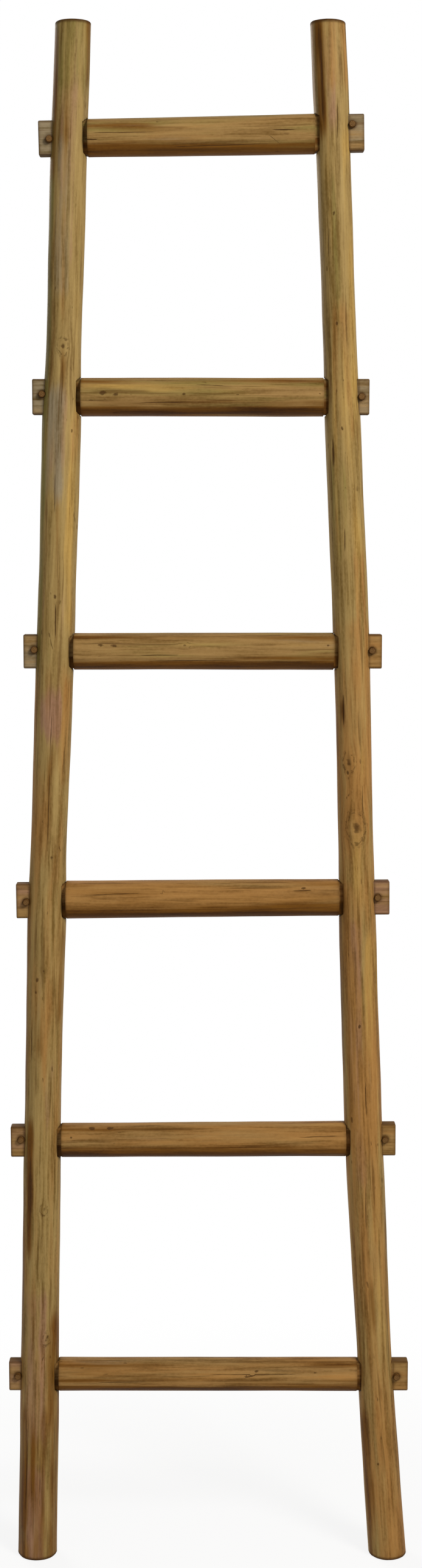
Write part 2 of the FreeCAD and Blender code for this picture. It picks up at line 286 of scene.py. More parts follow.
def skin_tree():
    """Wraps a path in the lumpy skin of peeled wood. Each path point's radius is the pole's."""
    tree = bpy.data.node_groups.new("peeled_skin", "GeometryNodeTree")
    face = tree.interface
    face.new_socket("Path", in_out="INPUT", socket_type="NodeSocketGeometry")
    for name, kind in (("Sides", "Int"), ("Lumps", "Float"), ("Flats", "Float"), ("Fibres", "Float"),
                       ("Seed", "Float"), ("Finish", "Material")):
        face.new_socket(name, in_out="INPUT", socket_type=f"NodeSocket{kind}")
    face.new_socket("Skin", in_out="OUTPUT", socket_type="NodeSocketGeometry")
    start = Wire(tree)
    given = {name: start.add("NodeGroupInput", output=name)
             for name in ("Path", "Sides", "Lumps", "Flats", "Fibres", "Seed", "Finish")}

    def remember(geometry, kind, value):
        node = tree.nodes.new("GeometryNodeCaptureAttribute")
        node.capture_items.new(kind, "kept")
        tree.links.new(geometry.socket, node.inputs[0])
        tree.links.new(value.socket, node.inputs[1])
        return Wire(tree, node.outputs[0]), Wire(tree, node.outputs[1])

    def vector(operation, a, b):
        return start.add("ShaderNodeVectorMath", {"operation": operation}, {0: a, 1: b})

    path, centre = remember(given["Path"], "VECTOR", start.add("GeometryNodeInputPosition"))
    path, along = remember(path, "FLOAT", start.add("GeometryNodeSplineParameter", output="Length"))
    path, girth = remember(path, "FLOAT", start.add("GeometryNodeInputRadius"))
    ring = start.add("GeometryNodeCurvePrimitiveCircle", None, {"Resolution": given["Sides"], "Radius": 1.0})
    ring, bearing = remember(ring, "VECTOR", start.add("GeometryNodeInputPosition"))
    skin = start.add("GeometryNodeCurveToMesh", None,
                     {"Curve": path, "Profile Curve": ring, "Scale": girth, "Fill Caps": True})

    bearing = start.add("ShaderNodeSeparateXYZ", None, {0: bearing})
    sideways = [Wire(tree, output) for output in bearing.socket.node.outputs]
    grain = start.add("ShaderNodeCombineXYZ", None,
                      {"X": sideways[0] * girth, "Y": sideways[1] * girth, "Z": along})

    def lumps(across, lengthwise, detail, depth):
        """Rises and falls, so many in a metre across the grain and along it."""
        stretched = vector("MULTIPLY", grain, (across, across, lengthwise))
        noise = start.add("ShaderNodeTexNoise", {"noise_dimensions": "4D"},
                          {"Vector": stretched, "W": given["Seed"], "Scale": 1.0, "Detail": detail})
        return (noise - 0.5) * depth

    rise = (lumps(22, 9, 1.0, given["Lumps"]) + lumps(75, 3.2, 1.0, given["Flats"])
            + lumps(330, 14, 3.0, given["Fibres"]))
    from_centre = vector("SUBTRACT", start.add("GeometryNodeInputPosition"), centre)
    outward = vector("NORMALIZE", from_centre, (0, 0, 0))
    shift = start.add("ShaderNodeVectorMath", {"operation": "SCALE"}, {0: outward, "Scale": rise})
    skin = start.add("GeometryNodeSetPosition", None, {"Geometry": skin, "Offset": shift})
    skin = start.add("GeometryNodeStoreNamedAttribute", {"data_type": "FLOAT_VECTOR"},
                     {"Geometry": skin, "Name": "grain", "Value": grain})
    skin = start.add("GeometryNodeRealizeInstances", None, {"Geometry": skin})
    skin = start.add("GeometryNodeSetMaterial", None, {"Geometry": skin, "Material": given["Finish"]})
    tree.links.new(skin.socket, tree.nodes.new("NodeGroupOutput").inputs[0])
    return tree


peeled_skin = skin_tree()


def finished_mesh(piece):
    """The mesh of an object as its modifiers leave it."""
    graph = bpy.context.evaluated_depsgraph_get()
    return bpy.data.meshes.new_from_object(piece.evaluated_get(graph), preserve_all_data_layers=True,
                                           depsgraph=graph)


def wrap_pole(name, points, radii, finish, seed, sides, lumps, flats, fibres):
    """A plain mesh object: the skin of peeled wood along points that are the pole's axis."""
    curve = bpy.data.curves.new(name, "CURVE")
    curve.dimensions = "3D"
    spline = curve.splines.new("POLY")
    spline.points.add(len(points) - 1)
    for point, place, radius in zip(spline.points, points, radii):
        point.co = (*place, 1)
        point.radius = radius
    path = bpy.data.objects.new(f"{name}_path", curve)
    scene.collection.objects.link(path)
    wrap = path.modifiers.new("peeled_skin", "NODES")
    wrap.node_group = peeled_skin
    values = {"Sides": sides, "Lumps": lumps, "Flats": flats, "Fibres": fibres, "Seed": seed,
              "Finish": finish}
    for item in peeled_skin.interface.items_tree:
        if item.name in values:
            wrap[item.identifier] = values[item.name]
    mesh = finished_mesh(path)
    bpy.data.objects.remove(path)
    mesh.name = name
    pole = bpy.data.objects.new(name, mesh)
    scene.collection.objects.link(pole)
    return pole


def read_vectors(mesh, name):
    """The points, their normals, or an attribute that holds a vector for each point."""
    if name == "co":
        source, field = mesh.vertices, "co"
    elif name == "normal":
        source, field = mesh.vertex_normals, "vector"
    else:
        source, field = mesh.attributes[name].data, "vector"
    flat = np.empty(len(mesh.vertices) * 3)
    source.foreach_get(field, flat)
    return flat.reshape(-1, 3)


def write_attribute(mesh, name, values):
    kind, field = ("FLOAT", "value") if np.ndim(values) == 1 else ("FLOAT_VECTOR", "vector")
    layer = mesh.attributes.get(name) or mesh.attributes.new(name, kind, "POINT")
    layer.data.foreach_set(field, np.ravel(values))


def unroll(mesh, along_axis, middle_at):
    """Where each point lies on a pole: how far along it, its bearing in degrees from the front to
    the right edge of a stile or the top of a rung, and how far it is from the pole's middle."""
    points = read_vectors(mesh, "co")
    along = points[:, along_axis]
    across = points[:, 2 - along_axis] - middle_at(along)
    return along, np.degrees(np.arctan2(across, -points[:, 1])), np.hypot(across, points[:, 1])


def turned_from(bearing, start):
    """Degrees from one bearing to another, the short way round."""
    return (bearing - start + 180) % 360 - 180


MM = 1000
# a check's reach, the soft part of it and its spread are in millimetres, and its depth is in metres
# for each millimetre of its half width. A knot's reach, swelling and dip are shares of its size, and
# it is so many times longer than wide.
CHECK_REACH, CHECK_SOFT, CHECK_SPREAD, CHECK_DEPTH = 3, 1.5, 1.3, 0.0005
KNOT_REACH, KNOT_LENGTHENED, KNOT_SWELL, KNOT_DIP = 1.6, 1.6, 0.10, 0.12
# the share of its turn that the grain gives up beside a mark, and how many sizes away
GRAIN_BEND, GRAIN_BEND_REACH = 0.35, 1.4


def press_marks(mesh, along, bearing, radius, marks):
    """Presses knots and drying checks into a pole, and returns the grain's bearings, bent round them.

    A knot is ("knot", along, bearing, size), a small dark one ("spot", along, bearing, size), and a
    check is ("check", along, bearing, end_along, end_bearing, width).
    """
    count = len(along)
    rise, bent = np.zeros(count), bearing.copy()
    knot, split = np.zeros((count, 3)), np.zeros((count, 3))
    for kind, at, start, *shape in marks:
        if kind == "check":
            end_at, end, width = shape
            t = np.clip((along - at) / (end_at - at), 0, 1)
            aside = np.radians(turned_from(bearing, start + t * (end - start))) * radius * MM
            half_width = MM / 2 * width * np.sqrt(np.sin(np.pi * t))
            near = half_width * np.clip((CHECK_REACH - abs(aside)) / CHECK_SOFT, 0, 1)
            stronger = near > split[:, 1]
            split[stronger, 0], split[stronger, 1] = aside[stronger], near[stronger]
            rise -= CHECK_DEPTH * half_width * np.exp(-(aside / CHECK_SPREAD)**2)
        else:
            size, = shape
            turned = turned_from(bearing, start)
            far = np.hypot((along - at) / (KNOT_LENGTHENED * size), np.radians(turned) * radius / size)
            ringed = float(kind == "knot")
            rise += ringed * size * (KNOT_SWELL * np.exp(-far**2) - KNOT_DIP * np.exp(-(far * 3)**2))
            bent -= GRAIN_BEND * (1 + ringed) * turned * np.exp(-(far / GRAIN_BEND_REACH)**2)
            nearness = np.clip(KNOT_REACH - far, 0, None)
            nearer = nearness > knot[:, 0]
            knot[nearer, 0], knot[nearer, 1] = nearness[nearer], ringed
    points, normals = read_vectors(mesh, "co"), read_vectors(mesh, "normal")
    mesh.vertices.foreach_set("co", (points + normals * rise[:, None]).ravel())
    write_attribute(mesh, "knot", knot)
    write_attribute(mesh, "split", split)
    return bent


# a tone's edges are soft over these degrees at its sides, and these metres at its ends
TONE_SIDE_SOFT, TONE_END_SOFT = 13, 0.022


def brush_tones(mesh, along, bearing, patches):
    """Lays soft patches of tone: (tone, from_along, to_along, from_bearing, to_bearing, share)."""
    def inside(past, soft):
        t = np.clip(0.5 - past / soft / 2, 0, 1)
        return t**2 * (3 - 2 * t)

    layers = {tone: np.zeros(len(along)) for tone in TONES}
    for tone, low, high, start, end, share in patches:
        past_side = abs(turned_from(bearing, (start + end) / 2)) - (end - start) / 2
        past_end = np.maximum(low - along, along - high)
        laid = share * inside(past_side, TONE_SIDE_SOFT) * inside(past_end, TONE_END_SOFT)
        layers[tone] = np.maximum(layers[tone], laid)
    for tone, layer in layers.items():
        write_attribute(mesh, tone, layer)


# degrees: how near the front a patch's middle is, and how narrow the patch is
NEAR_FRONT, NARROW = 60, 80


def on_the_back_too(patches, shift):
    """The patches, and the narrow ones near the front again on the back, further along the pole."""
    again = [(tone, low + shift, high + shift, start + 180, end + 180, share)
             for tone, low, high, start, end, share in patches
             if abs(start + end) / 2 < NEAR_FRONT and end - start < NARROW]
    return [*patches, *again]


# how strong the stain is where it gathers, and how far it spreads from there. At the feet, the
# shoulders, round the peg holes and at the pegs' ends it is stain and painted shade together
STAIN_AND_SHADE_AT = {
    "stile_end": (1.15, 0.0038), "shoulder": (0.45, 0.0020), "tenon_tip": (0.70, 0.0022),
    "peg_hole": (0.95, 0.0022), "stile_wall": (0.70, 0.0016), "peg_end": (0.90, 0.0030),
}


def gathered(place, distance, power=2):
    """The stain, and at some places painted shade, at a distance from a place where it gathers."""
    strength, spread = STAIN_AND_SHADE_AT[place]
    return strength * np.exp(-(distance / spread)**power)


def finish_skin(piece, along_axis, middle_at, marks, patches, grain_start, stain, sawn):
    """Gives a pole, once it is cut, its marks, its tones, its stain and painted shade, and the run
    of its grain.
    """
    write_attribute(piece.data, "stain", stain)
    write_attribute(piece.data, "sawn", sawn)
    along, bearing, radius = unroll(piece.data, along_axis, middle_at)
    bent = np.radians(press_marks(piece.data, along, bearing, radius, marks))
    brush_tones(piece.data, along, bearing, patches)
    grain = np.stack([radius * np.sin(bent), radius * np.cos(bent), along + grain_start], axis=1)
    write_attribute(piece.data, "grain", grain)


def sweep(name, rings, finish):
    """A closed mesh object through rings of points, each ring with as many points as the next."""
    rings = np.array(rings)
    count, sides = rings.shape[:2]
    faces = [(r * sides + i, r * sides + (i + 1) % sides, (r + 1) * sides + (i + 1) % sides,
              (r + 1) * sides + i) for r in range(count - 1) for i in range(sides)]
    faces += [tuple(range(sides - 1, -1, -1)), tuple(range((count - 1) * sides, count * sides))]
    mesh = bpy.data.meshes.new(name)
    mesh.from_pydata(rings.reshape(-1, 3).tolist(), [], faces)
    mesh.materials.append(finish)
    piece = bpy.data.objects.new(name, mesh)
    scene.collection.objects.link(piece)
    return piece


def tilted(points, rung):
    """Turns points given along a level rung at height 0 to that rung's tilt and height."""
    angle = math.radians(RUNG_TILT[rung - 1])
    points = np.array(points, float)
    x, z = points[..., 0].copy(), points[..., 2].copy()
    points[..., 0] = x * math.cos(angle) - z * math.sin(angle)
    points[..., 2] = x * math.sin(angle) + z * math.cos(angle) + rung_height(rung)
    return points


def levelled(points, rung):
    """Where points of a tilted rung lie along a level rung at height 0."""
    angle = math.radians(RUNG_TILT[rung - 1])
    x, z = points[:, 0], points[:, 2] - rung_height(rung)
    return np.stack([x * math.cos(angle) + z * math.sin(angle), points[:, 1],
                     z * math.cos(angle) - x * math.sin(angle)], axis=1)


def round_ring(x, radius, sides):
    """A circle round the X axis."""
    turn = 2 * np.pi * np.arange(sides) / sides
    return np.stack([np.full(sides, x), radius * np.cos(turn), radius * np.sin(turn)], axis=1)


def tenon_ring(x, half_y, half_z, corner, sides):
    """A rectangle round the X axis with rounded corners and evenly spread points."""
    # the small turn keeps each point off the axes, where its sign would be 0
    turn = np.linspace(0, 2 * np.pi, 48, endpoint=False) + 0.01
    y = np.sign(np.cos(turn)) * (half_y - corner) + corner * np.cos(turn)
    z = np.sign(np.sin(turn)) * (half_z - corner) + corner * np.sin(turn)
    y, z = np.append(y, y[0]), np.append(z, z[0])
    walked = np.concatenate([[0], np.cumsum(np.hypot(np.diff(y), np.diff(z)))])
    at = np.linspace(0, walked[-1], sides, endpoint=False)
    return np.stack([np.full(sides, x), np.interp(at, walked, y), np.interp(at, walked, z)], axis=1)


def merge_shapes(piece, other, operation):
    """Cuts another piece out of this one, or joins it on, and takes the other one away."""
    cutter = piece.modifiers.new("cut", "BOOLEAN")
    cutter.operation, cutter.object, cutter.solver = operation, other, "EXACT"
    mesh = finished_mesh(piece)
    piece.modifiers.clear()
    old, piece.data = piece.data, mesh
    mesh.name = old.name
    bpy.data.meshes.remove(old)
    bpy.data.objects.remove(other)


def join_objects(name, objects):
    """Several mesh objects as one."""
    with bpy.context.temp_override(active_object=objects[0], selected_editable_objects=objects):
        bpy.ops.object.join()
    objects[0].name = name
    return objects[0]


TONES = {
    "olive": "#7A6B36", "mauve": "#916D52", "honey": "#A58344", "rust": "#966C38",
    "umber": "#6A4310", "bark": "#4C2C04", "ash": "#86765A",
}
# what a colour's red, green and blue are multiplied by in its dark streaks and in its light ones
DARK_STREAK, LIGHT_STREAK = (0.52, 0.46, 0.30), (1.24, 1.28, 1.36)
STREAK_STOPS = (0.39, 0.50, 0.61)
END_GRAIN_DARK, END_GRAIN_LIGHT = "#5B4327", "#8F7046"
STREAK_STAIN, GATHERED_STAIN_AND_SHADE = "#55360E", "#40260A"
# the year rings' turns in a metre, in radians, and how far they stray
YEAR_RINGS, RINGS_STRAY = 3200, 0.004
# the radii of a knot's two dark rims, as shares of its size
KNOT_RIM, KNOT_OUTER_RIM = 0.98, 1.22


def peeled_wood(name, tan):
    """Peeled wood with an antique stain and some painted shade, of one colour and its shades, toned and
    marked by the attributes of its points."""
    material, start, shader, _ = new_material(name)
    shader.inputs["Specular IOR Level"].default_value = 0.10

    def read(attribute, output="Fac"):
        return start.add("ShaderNodeAttribute", {"attribute_name": attribute}, output=output)

    grain, stain, sawn = read("grain", "Vector"), read("stain"), read("sawn")

    def fibres(across, along, detail, seed):
        """Streaks from 0 to 1, so many in a metre across the grain and along it."""
        stretched = start.add("ShaderNodeVectorMath", {"operation": "MULTIPLY"},
                              {0: grain, 1: (across, across, along)})
        return start.add("ShaderNodeTexNoise", {"noise_dimensions": "4D"},
                         {"Vector": stretched, "W": seed, "Scale": 1.0, "Detail": detail})

    broad = fibres(60, 5.0, 2.0, 1.3)
    middle = fibres(220, 10, 3.0, 4.1)
    fine = fibres(700, 40, 3.0, 7.7)
    mottle = fibres(420, 240, 2.0, 9.4)
    streaks = broad * 0.26 + middle * 0.44 + fine * 0.18 + mottle * 0.12

    def shades(code):
        """From the dark streaks of a colour to its light ones."""
        plain = paint(code)[:3]
        dark = [part * share for part, share in zip(plain, DARK_STREAK)]
        light = [part * share for part, share in zip(plain, LIGHT_STREAK)]
        stops = [(place, (*shade, 1)) for place, shade in zip(STREAK_STOPS, (dark, plain, light))]
        return start.add("ShaderNodeValToRGB", {"stops": stops}, {"Fac": streaks})

    colour = shades(tan)
    for seed, (tone, code) in enumerate(TONES.items()):
        ragged = fibres(90, 7, 3.0, 60.0 + 3 * seed) * 0.6 + fibres(22, 4, 2.0, 61.0 + 3 * seed) * 0.4
        colour = colour.tint(shades(code), (read(tone) + (ragged - 0.5) * 2.4).between(0.2, 0.8))

    rings_at = start.add("ShaderNodeVectorMath", {"operation": "MULTIPLY"}, {0: grain, 1: (1, 1, 0)})
    ring = start.add("ShaderNodeVectorMath", {"operation": "LENGTH"}, {0: rings_at}, output="Value")
    ring = ((ring + fibres(60, 0, 2.0, 5.0) * RINGS_STRAY) * YEAR_RINGS).math("SINE")
    stops = ((0.0, paint(END_GRAIN_DARK)), (1.0, paint(END_GRAIN_LIGHT)))
    end_grain = start.add("ShaderNodeValToRGB", {"stops": stops}, {"Fac": ring * 0.5 + 0.5})
    colour = colour.tint(end_grain, sawn)

    def parts(attribute):
        xyz = start.add("ShaderNodeSeparateXYZ", None, {0: read(attribute, "Vector")})
        return [Wire(start.tree, output) for output in xyz.socket.node.outputs]

    # drying checks, with ragged sides
    aside, half_width, _ = parts("split")
    crack = half_width * 0.9 + (fibres(800, 60, 2.0, 21.0) - 0.5) * 1.2 - abs(aside)
    crack = crack.between(0.0, 0.35) * half_width.between(0.02, 0.15)

    # knots, each with a dark heart, and the large ones with two broken rims
    nearness, ringed, _ = parts("knot")
    far = KNOT_REACH - nearness + (fibres(240, 160, 2.0, 51.0) - 0.5) * 1.2
    heart = (far + ringed * 0.2).between(0.62, 0.28)
    rim = abs(far - KNOT_RIM).between(0.17, 0.03)
    outer_rim = abs(far - KNOT_OUTER_RIM).between(0.10, 0.02)
    broken = fibres(290, 190, 1.0, 54.0).between(0.44, 0.54)
    knots = strongest(heart * 0.9, ringed * broken * (rim * 0.65 + outer_rim * 0.35))

    # the stain's long streaks, hairs and flecks, which come and go along the pole
    dark_streaks = fibres(185, 9.0, 2.0, 31.0).between(0.58, 0.70) * 0.5
    hairs = fibres(560, 5.0, 0.0, 34.0).between(0.70, 0.76) * fibres(30, 6.0, 1.0, 37.0).between(0.5, 0.6)
    flecks = fibres(330, 90, 0.0, 41.0).between(0.76, 0.80) * fibres(18, 9.0, 1.0, 44.0).between(0.48, 0.6)
    # the gathered darkening is stain, and painted shade as well at the feet, the shoulders and round the
    # pegs
    dark = strongest(stain * (0.7 + 0.5 * middle), knots, crack, hairs * 0.6, flecks * 0.7)
    colour = colour.tint(paint(STREAK_STAIN), dark_streaks)
    colour = colour.tint(paint(GATHERED_STAIN_AND_SHADE), dark * 0.86)
    start.tree.links.new(colour.socket, shader.inputs["Base Color"])
    rough = 0.48 + 0.2 * middle + 0.2 * dark
    start.tree.links.new(rough.socket, shader.inputs["Roughness"])
    relief = middle * 0.6 + fine * 0.5 - crack * 1.2 - heart * 0.5 - dark_streaks * 0.3
    bump = start.add("ShaderNodeBump", None, {"Strength": 0.6, "Distance": 0.0008, "Height": relief})
    start.tree.links.new(bump.socket, shader.inputs["Normal"])
    return material


stile_wood = peeled_wood("stile_wood", "#937947")

STILE_MARKS = {
    "left": (
        ("knot", 1.5455, 1, 0.0062), ("check", 1.535, -1, 1.455, 4, 0.0009),
        ("spot", 1.444, 35, 0.0030), ("check", 1.396, -13, 1.340, -10, 0.0013),
        ("spot", 1.243, -2, 0.0036), ("check", 1.236, 0, 1.190, 3, 0.0019),
        ("check", 1.100, -1, 1.040, -1, 0.0011), ("check", 1.027, -1, 0.930, -1, 0.0016),
        ("spot", 0.918, 14, 0.0034), ("check", 1.055, 44, 1.020, 49, 0.0016),
        ("spot", 0.764, -22, 0.0040), ("spot", 0.776, -2, 0.0034), ("spot", 0.748, -25, 0.0026),
        ("check", 0.700, -40, 0.660, -39, 0.0014), ("knot", 0.468, 12, 0.0050),
        ("spot", 0.2987, 26, 0.0036), ("knot", 0.2960, 22, 0.0052),
        ("check", 0.538, -36, 0.440, -34, 0.0020),
        ("check", 0.180, -34, 0.060, -36, 0.0022), ("check", 0.150, 8, 0.070, 9, 0.0013),
        ("knot", 1.720, 179, 0.0060), ("knot", 1.120, 174, 0.0070), ("knot", 0.610, 190, 0.0060),
        ("check", 1.620, 164, 1.470, 161, 0.0016), ("check", 0.420, 184, 0.230, 182, 0.0017),
    ),
    "right": (
        ("check", 1.905, -28, 1.850, -33, 0.0014), ("check", 1.842, -34, 1.812, -37, 0.0014),
        ("check", 1.834, 17, 1.790, 12, 0.0014),
        ("spot", 1.703, -9, 0.0034), ("check", 1.690, -30, 1.650, -33, 0.0012),
        ("spot", 1.5725, -11, 0.0028), ("check", 1.436, -38, 1.400, -42, 0.0026),
        ("spot", 1.447, -6, 0.0030), ("check", 1.327, -11, 1.297, -14, 0.0016),
        ("check", 1.122, -38, 1.084, -40, 0.0026), ("knot", 1.038, -22, 0.0078),
        ("spot", 1.026, -26, 0.0030), ("knot", 0.956, -2, 0.0118),
        ("check", 1.010, 23, 0.968, 22, 0.0013),
        ("spot", 0.7047, -6, 0.0032), ("check", 0.635, 7, 0.588, 6, 0.0016),
        ("check", 0.500, -4, 0.440, -9, 0.0014), ("spot", 0.130, -12, 0.0030),
        ("knot", 1.620, 187, 0.0065), ("knot", 0.880, 182, 0.0070), ("knot", 0.370, 169, 0.0060),
        ("check", 1.350, 187, 1.190, 190, 0.0017), ("check", 0.760, 185, 0.620, 183, 0.0016),
    ),
}
# the olive, umber, rust and deep brown patches along each stile's left edge, from about -150 to -40 degrees,
# are partly painted shade: they darken the side that the light from the upper right leaves dark
STILE_TONES = {
    "left": (
        ("olive", 1.15, 1.96, -150, -44, 0.80), ("olive", 1.84, 1.96, -60, 110, 0.45),
        ("umber", 1.74, 1.93, -84, -40, 0.66), ("umber", 1.30, 1.80, -42, -28, 0.35),
        ("umber", 1.84, 1.96, 50, 110, 0.60),
        ("ash", 1.60, 1.80, -40, 20, 0.55), ("mauve", 1.64, 1.86, -30, 30, 0.38),
        ("umber", 1.78, 1.96, -30, 30, 0.28),
        ("rust", 1.50, 1.72, -9, 3, 0.50), ("honey", 1.20, 1.62, 22, 58, 0.40),
        ("ash", 1.36, 1.50, -44, 20, 0.65), ("mauve", 1.39, 1.50, -36, 24, 0.50),
        ("rust", 1.40, 1.48, 30, 70, 0.55),
        ("umber", 1.45, 1.54, -6, 8, 0.55), ("umber", 1.16, 1.40, -8, 6, 0.42),
        ("olive", 1.55, 1.72, -8, 12, 0.30),
        ("mauve", 1.070, 1.125, -44, 30, 0.75), ("rust", 1.00, 1.15, 30, 85, 0.55),
        ("rust", 0.93, 1.15, -90, -28, 0.45), ("umber", 0.90, 1.05, -9, 4, 0.60),
        ("rust", 0.30, 1.16, -180, 180, 0.33), ("umber", 0.60, 0.93, -130, -52, 0.55),
        ("umber", 0.66, 0.88, -40, 4, 0.42), ("umber", 0.70, 0.84, 28, 80, 0.50),
        ("mauve", 0.57, 0.66, 10, 60, 0.35), ("bark", 0.46, 0.53, -40, -28, 0.50),
        ("umber", 0.40, 0.58, -52, -24, 0.70),
        ("umber", -0.1, 0.50, -140, -56, 0.70), ("bark", -0.1, 0.40, -120, -66, 0.35),
        ("rust", 0.16, 0.34, -180, 180, 0.35),
        ("umber", -0.1, 0.33, 26, 110, 0.60), ("umber", -0.1, 0.21, -180, 180, 0.50),
        ("mauve", -0.1, 0.13, -36, 24, 0.70),
        ("mauve", 0.15, 0.36, -44, 28, 0.60),
        ("umber", 0.03, 0.21, -60, -26, 0.75), ("umber", 0.06, 0.20, 50, 110, 0.60),
        ("rust", -0.1, 0.030, -100, -20, 0.70), ("umber", 0.10, 0.18, -8, 6, 0.55),
    ),
    "right": (
        ("bark", 1.81, 1.92, -40, -26, 0.95), ("umber", 1.79, 1.94, -56, -18, 0.80),
        ("rust", 1.82, 1.96, -110, -50, 0.45),
        ("rust", 1.84, 1.96, -30, 80, 0.55), ("mauve", 1.80, 1.92, -20, 20, 0.60),
        ("olive", 1.83, 1.90, 62, 120, 0.40),
        ("rust", 1.77, 1.93, -30, -8, 0.45), ("umber", 1.56, 1.79, -46, -26, 0.40),
        ("olive", 1.56, 1.76, -22, 6, 0.55), ("olive", 1.28, 1.42, -60, 6, 0.40),
        ("honey", 1.22, 1.80, 16, 70, 0.45), ("honey", 1.30, 1.78, -40, 20, 0.30),
        ("rust", 1.49, 1.60, -30, 50, 0.50),
        ("rust", 1.43, 1.52, -30, 40, 0.55), ("bark", 1.395, 1.43, -46, -30, 0.80),
        ("umber", 1.28, 1.36, -50, -26, 0.45), ("rust", 1.10, 1.30, 12, 60, 0.55),
        ("rust", -0.1, 1.22, -180, 180, 0.55), ("bark", 1.085, 1.12, -46, -32, 0.80),
        ("umber", 0.96, 1.05, -40, -26, 0.40), ("honey", 0.85, 1.06, -10, 40, 0.45),
        ("umber", 0.90, 1.12, -130, -58, 0.30), ("umber", 0.56, 0.88, -115, -36, 0.45),
        ("rust", 0.56, 0.90, -60, -10, 0.70),
        ("mauve", 0.58, 0.84, -44, 6, 0.90), ("honey", 0.60, 0.82, 16, 72, 0.90),
        ("mauve", 0.49, 0.58, -34, 4, 0.70), ("honey", 0.42, 0.50, 4, 44, 0.35),
        ("umber", 0.30, 0.38, -8, 10, 0.40), ("honey", 0.12, 0.19, 4, 44, 0.45),
        ("umber", -0.1, 0.20, -80, -40, 0.60), ("umber", 0.02, 0.12, -46, -26, 0.60),
        ("umber", 0.03, 0.10, -6, 22, 0.40),
        ("mauve", -0.1, 0.03, -34, 10, 0.45), ("umber", -0.1, 0.012, 20, 90, 0.60),
    ),
}
END_WEAR, MORTISE_CORNER = 0.0022, 0.0025
STILE_SIDES, SEAT_SIDES, MORTISE_SIDES = 116, 64, 48
STILE_STEP = 0.0026
# how far the shapes that cut the seats and the mortises reach
SEAT_CUT, MORTISE_CUT = 0.03, 0.04

for number, side in enumerate(BOTH_SIDES):
    steps = np.linspace(0, LADDER_LENGTH, round(LADDER_LENGTH / STILE_STEP))
    girth = smooth_line(*zip(*STILE_GIRTH[side]), steps)
    steps, radii = worn_ends(steps, girth / 2, END_WEAR)
    bends = [0.0] + [rung_height(rung) for rung in RUNGS] + [LADDER_LENGTH]
    axis = [STILE_ENDS[side][0]] + [stile_axis(side, rung) for rung in RUNGS] + [STILE_ENDS[side][1]]
    x = smooth_line(bends, axis, steps)
    points = np.stack([x, np.zeros(len(x)), steps], axis=1)
    stile = wrap_pole(f"{side}_stile_wood", points, radii, stile_wood, seed=3.0 + 5 * number,
                      sides=STILE_SIDES, lumps=0.0022, flats=0.0016, fibres=0.00035)
    # the pole is sawn level at both ends, so each ring of its skin is turned level too
    lengths = np.concatenate([[0], np.cumsum(np.linalg.norm(np.diff(points, axis=0), axis=1))])
    level = read_vectors(stile.data, "co")
    level[:, 2] = np.interp(read_vectors(stile.data, "grain")[:, 2], lengths, steps)
    stile.data.vertices.foreach_set("co", level.ravel())

    inward = -OUTWARD[side]
    seats, mortises = [], []
    for rung in RUNGS:
        middle = stile_axis(side, rung)
        seat_floor = middle + inward * (stile_radius(side, rung) - SEAT_DEPTH)
        seat = [round_ring(at, rung_radius(side, rung) + SEEN_SEAT_GAP, SEAT_SIDES)
                for at in sorted((seat_floor, seat_floor + inward * SEAT_CUT))]
        seats.append(sweep("seat", tilted(seat, rung), stile_wood))
        half_y = TENON_THICKNESS / 2 + MORTISE_GAP
        half_z = tenon_half_height(side, rung) + MORTISE_GAP
        mortise = [tenon_ring(at, half_y, half_z, MORTISE_CORNER, MORTISE_SIDES)
                   for at in (middle - MORTISE_CUT, middle + MORTISE_CUT)]
        mortises.append(sweep("mortise", tilted(mortise, rung), stile_wood))
    merge_shapes(stile, join_objects("seats", seats), "DIFFERENCE")
    merge_shapes(stile, join_objects("mortises", mortises), "DIFFERENCE")
    from_end = read_vectors(stile.data, "co")[:, 2]
    from_end = np.minimum(from_end, LADDER_LENGTH - from_end)
    # both sawn ends are darkened by stain, and at the feet this is painted shadow as well, where they stand
    # on the floor
    finish_skin(stile, 2, lambda along: np.interp(along, steps, x), STILE_MARKS[side],
                on_the_back_too(STILE_TONES[side], shift=0.13), grain_start=2.3 * number,
                stain=gathered("stile_end", from_end, power=4),
                sawn=(from_end < SAME_PLACE).astype(float))
    stile.data.shade_smooth()
    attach(stile, "root")
    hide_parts(f"{side}_stile")


# ---- The six rungs ----
# Each rung is a shorter peeled pole. Both its ends are cut down to a flat tenon, with a square
# shoulder round it, and the tenon goes through the stile and stands out on the other side. Stain
# has gathered along the tenons' edges, and at the shoulders and round the holes for the pegs the
# wood is darkened by stain and painted shade together.

TENON_REACH = {
    "left": (0.0143, 0.0157, 0.0151, 0.0160, 0.0144, 0.0154),
    "right": (0.0174, 0.0162, 0.0176, 0.0147, 0.0120, 0.0168),
}
PEG_RADIUS, PEG_STAND_OUT, PEG_STILE_GAP = 0.004, 0.0055, 0.0003
PEG_RISE = {
    "left": (0.0008, 0.0034, -0.0010, 0.0023, 0.0030, -0.0020),
    "right": (0.0, 0.0011, 0.0010, 0.0012, 0.0, 0.0090),
}

rung_wood = peeled_wood("rung_wood", "#8E6E3F")

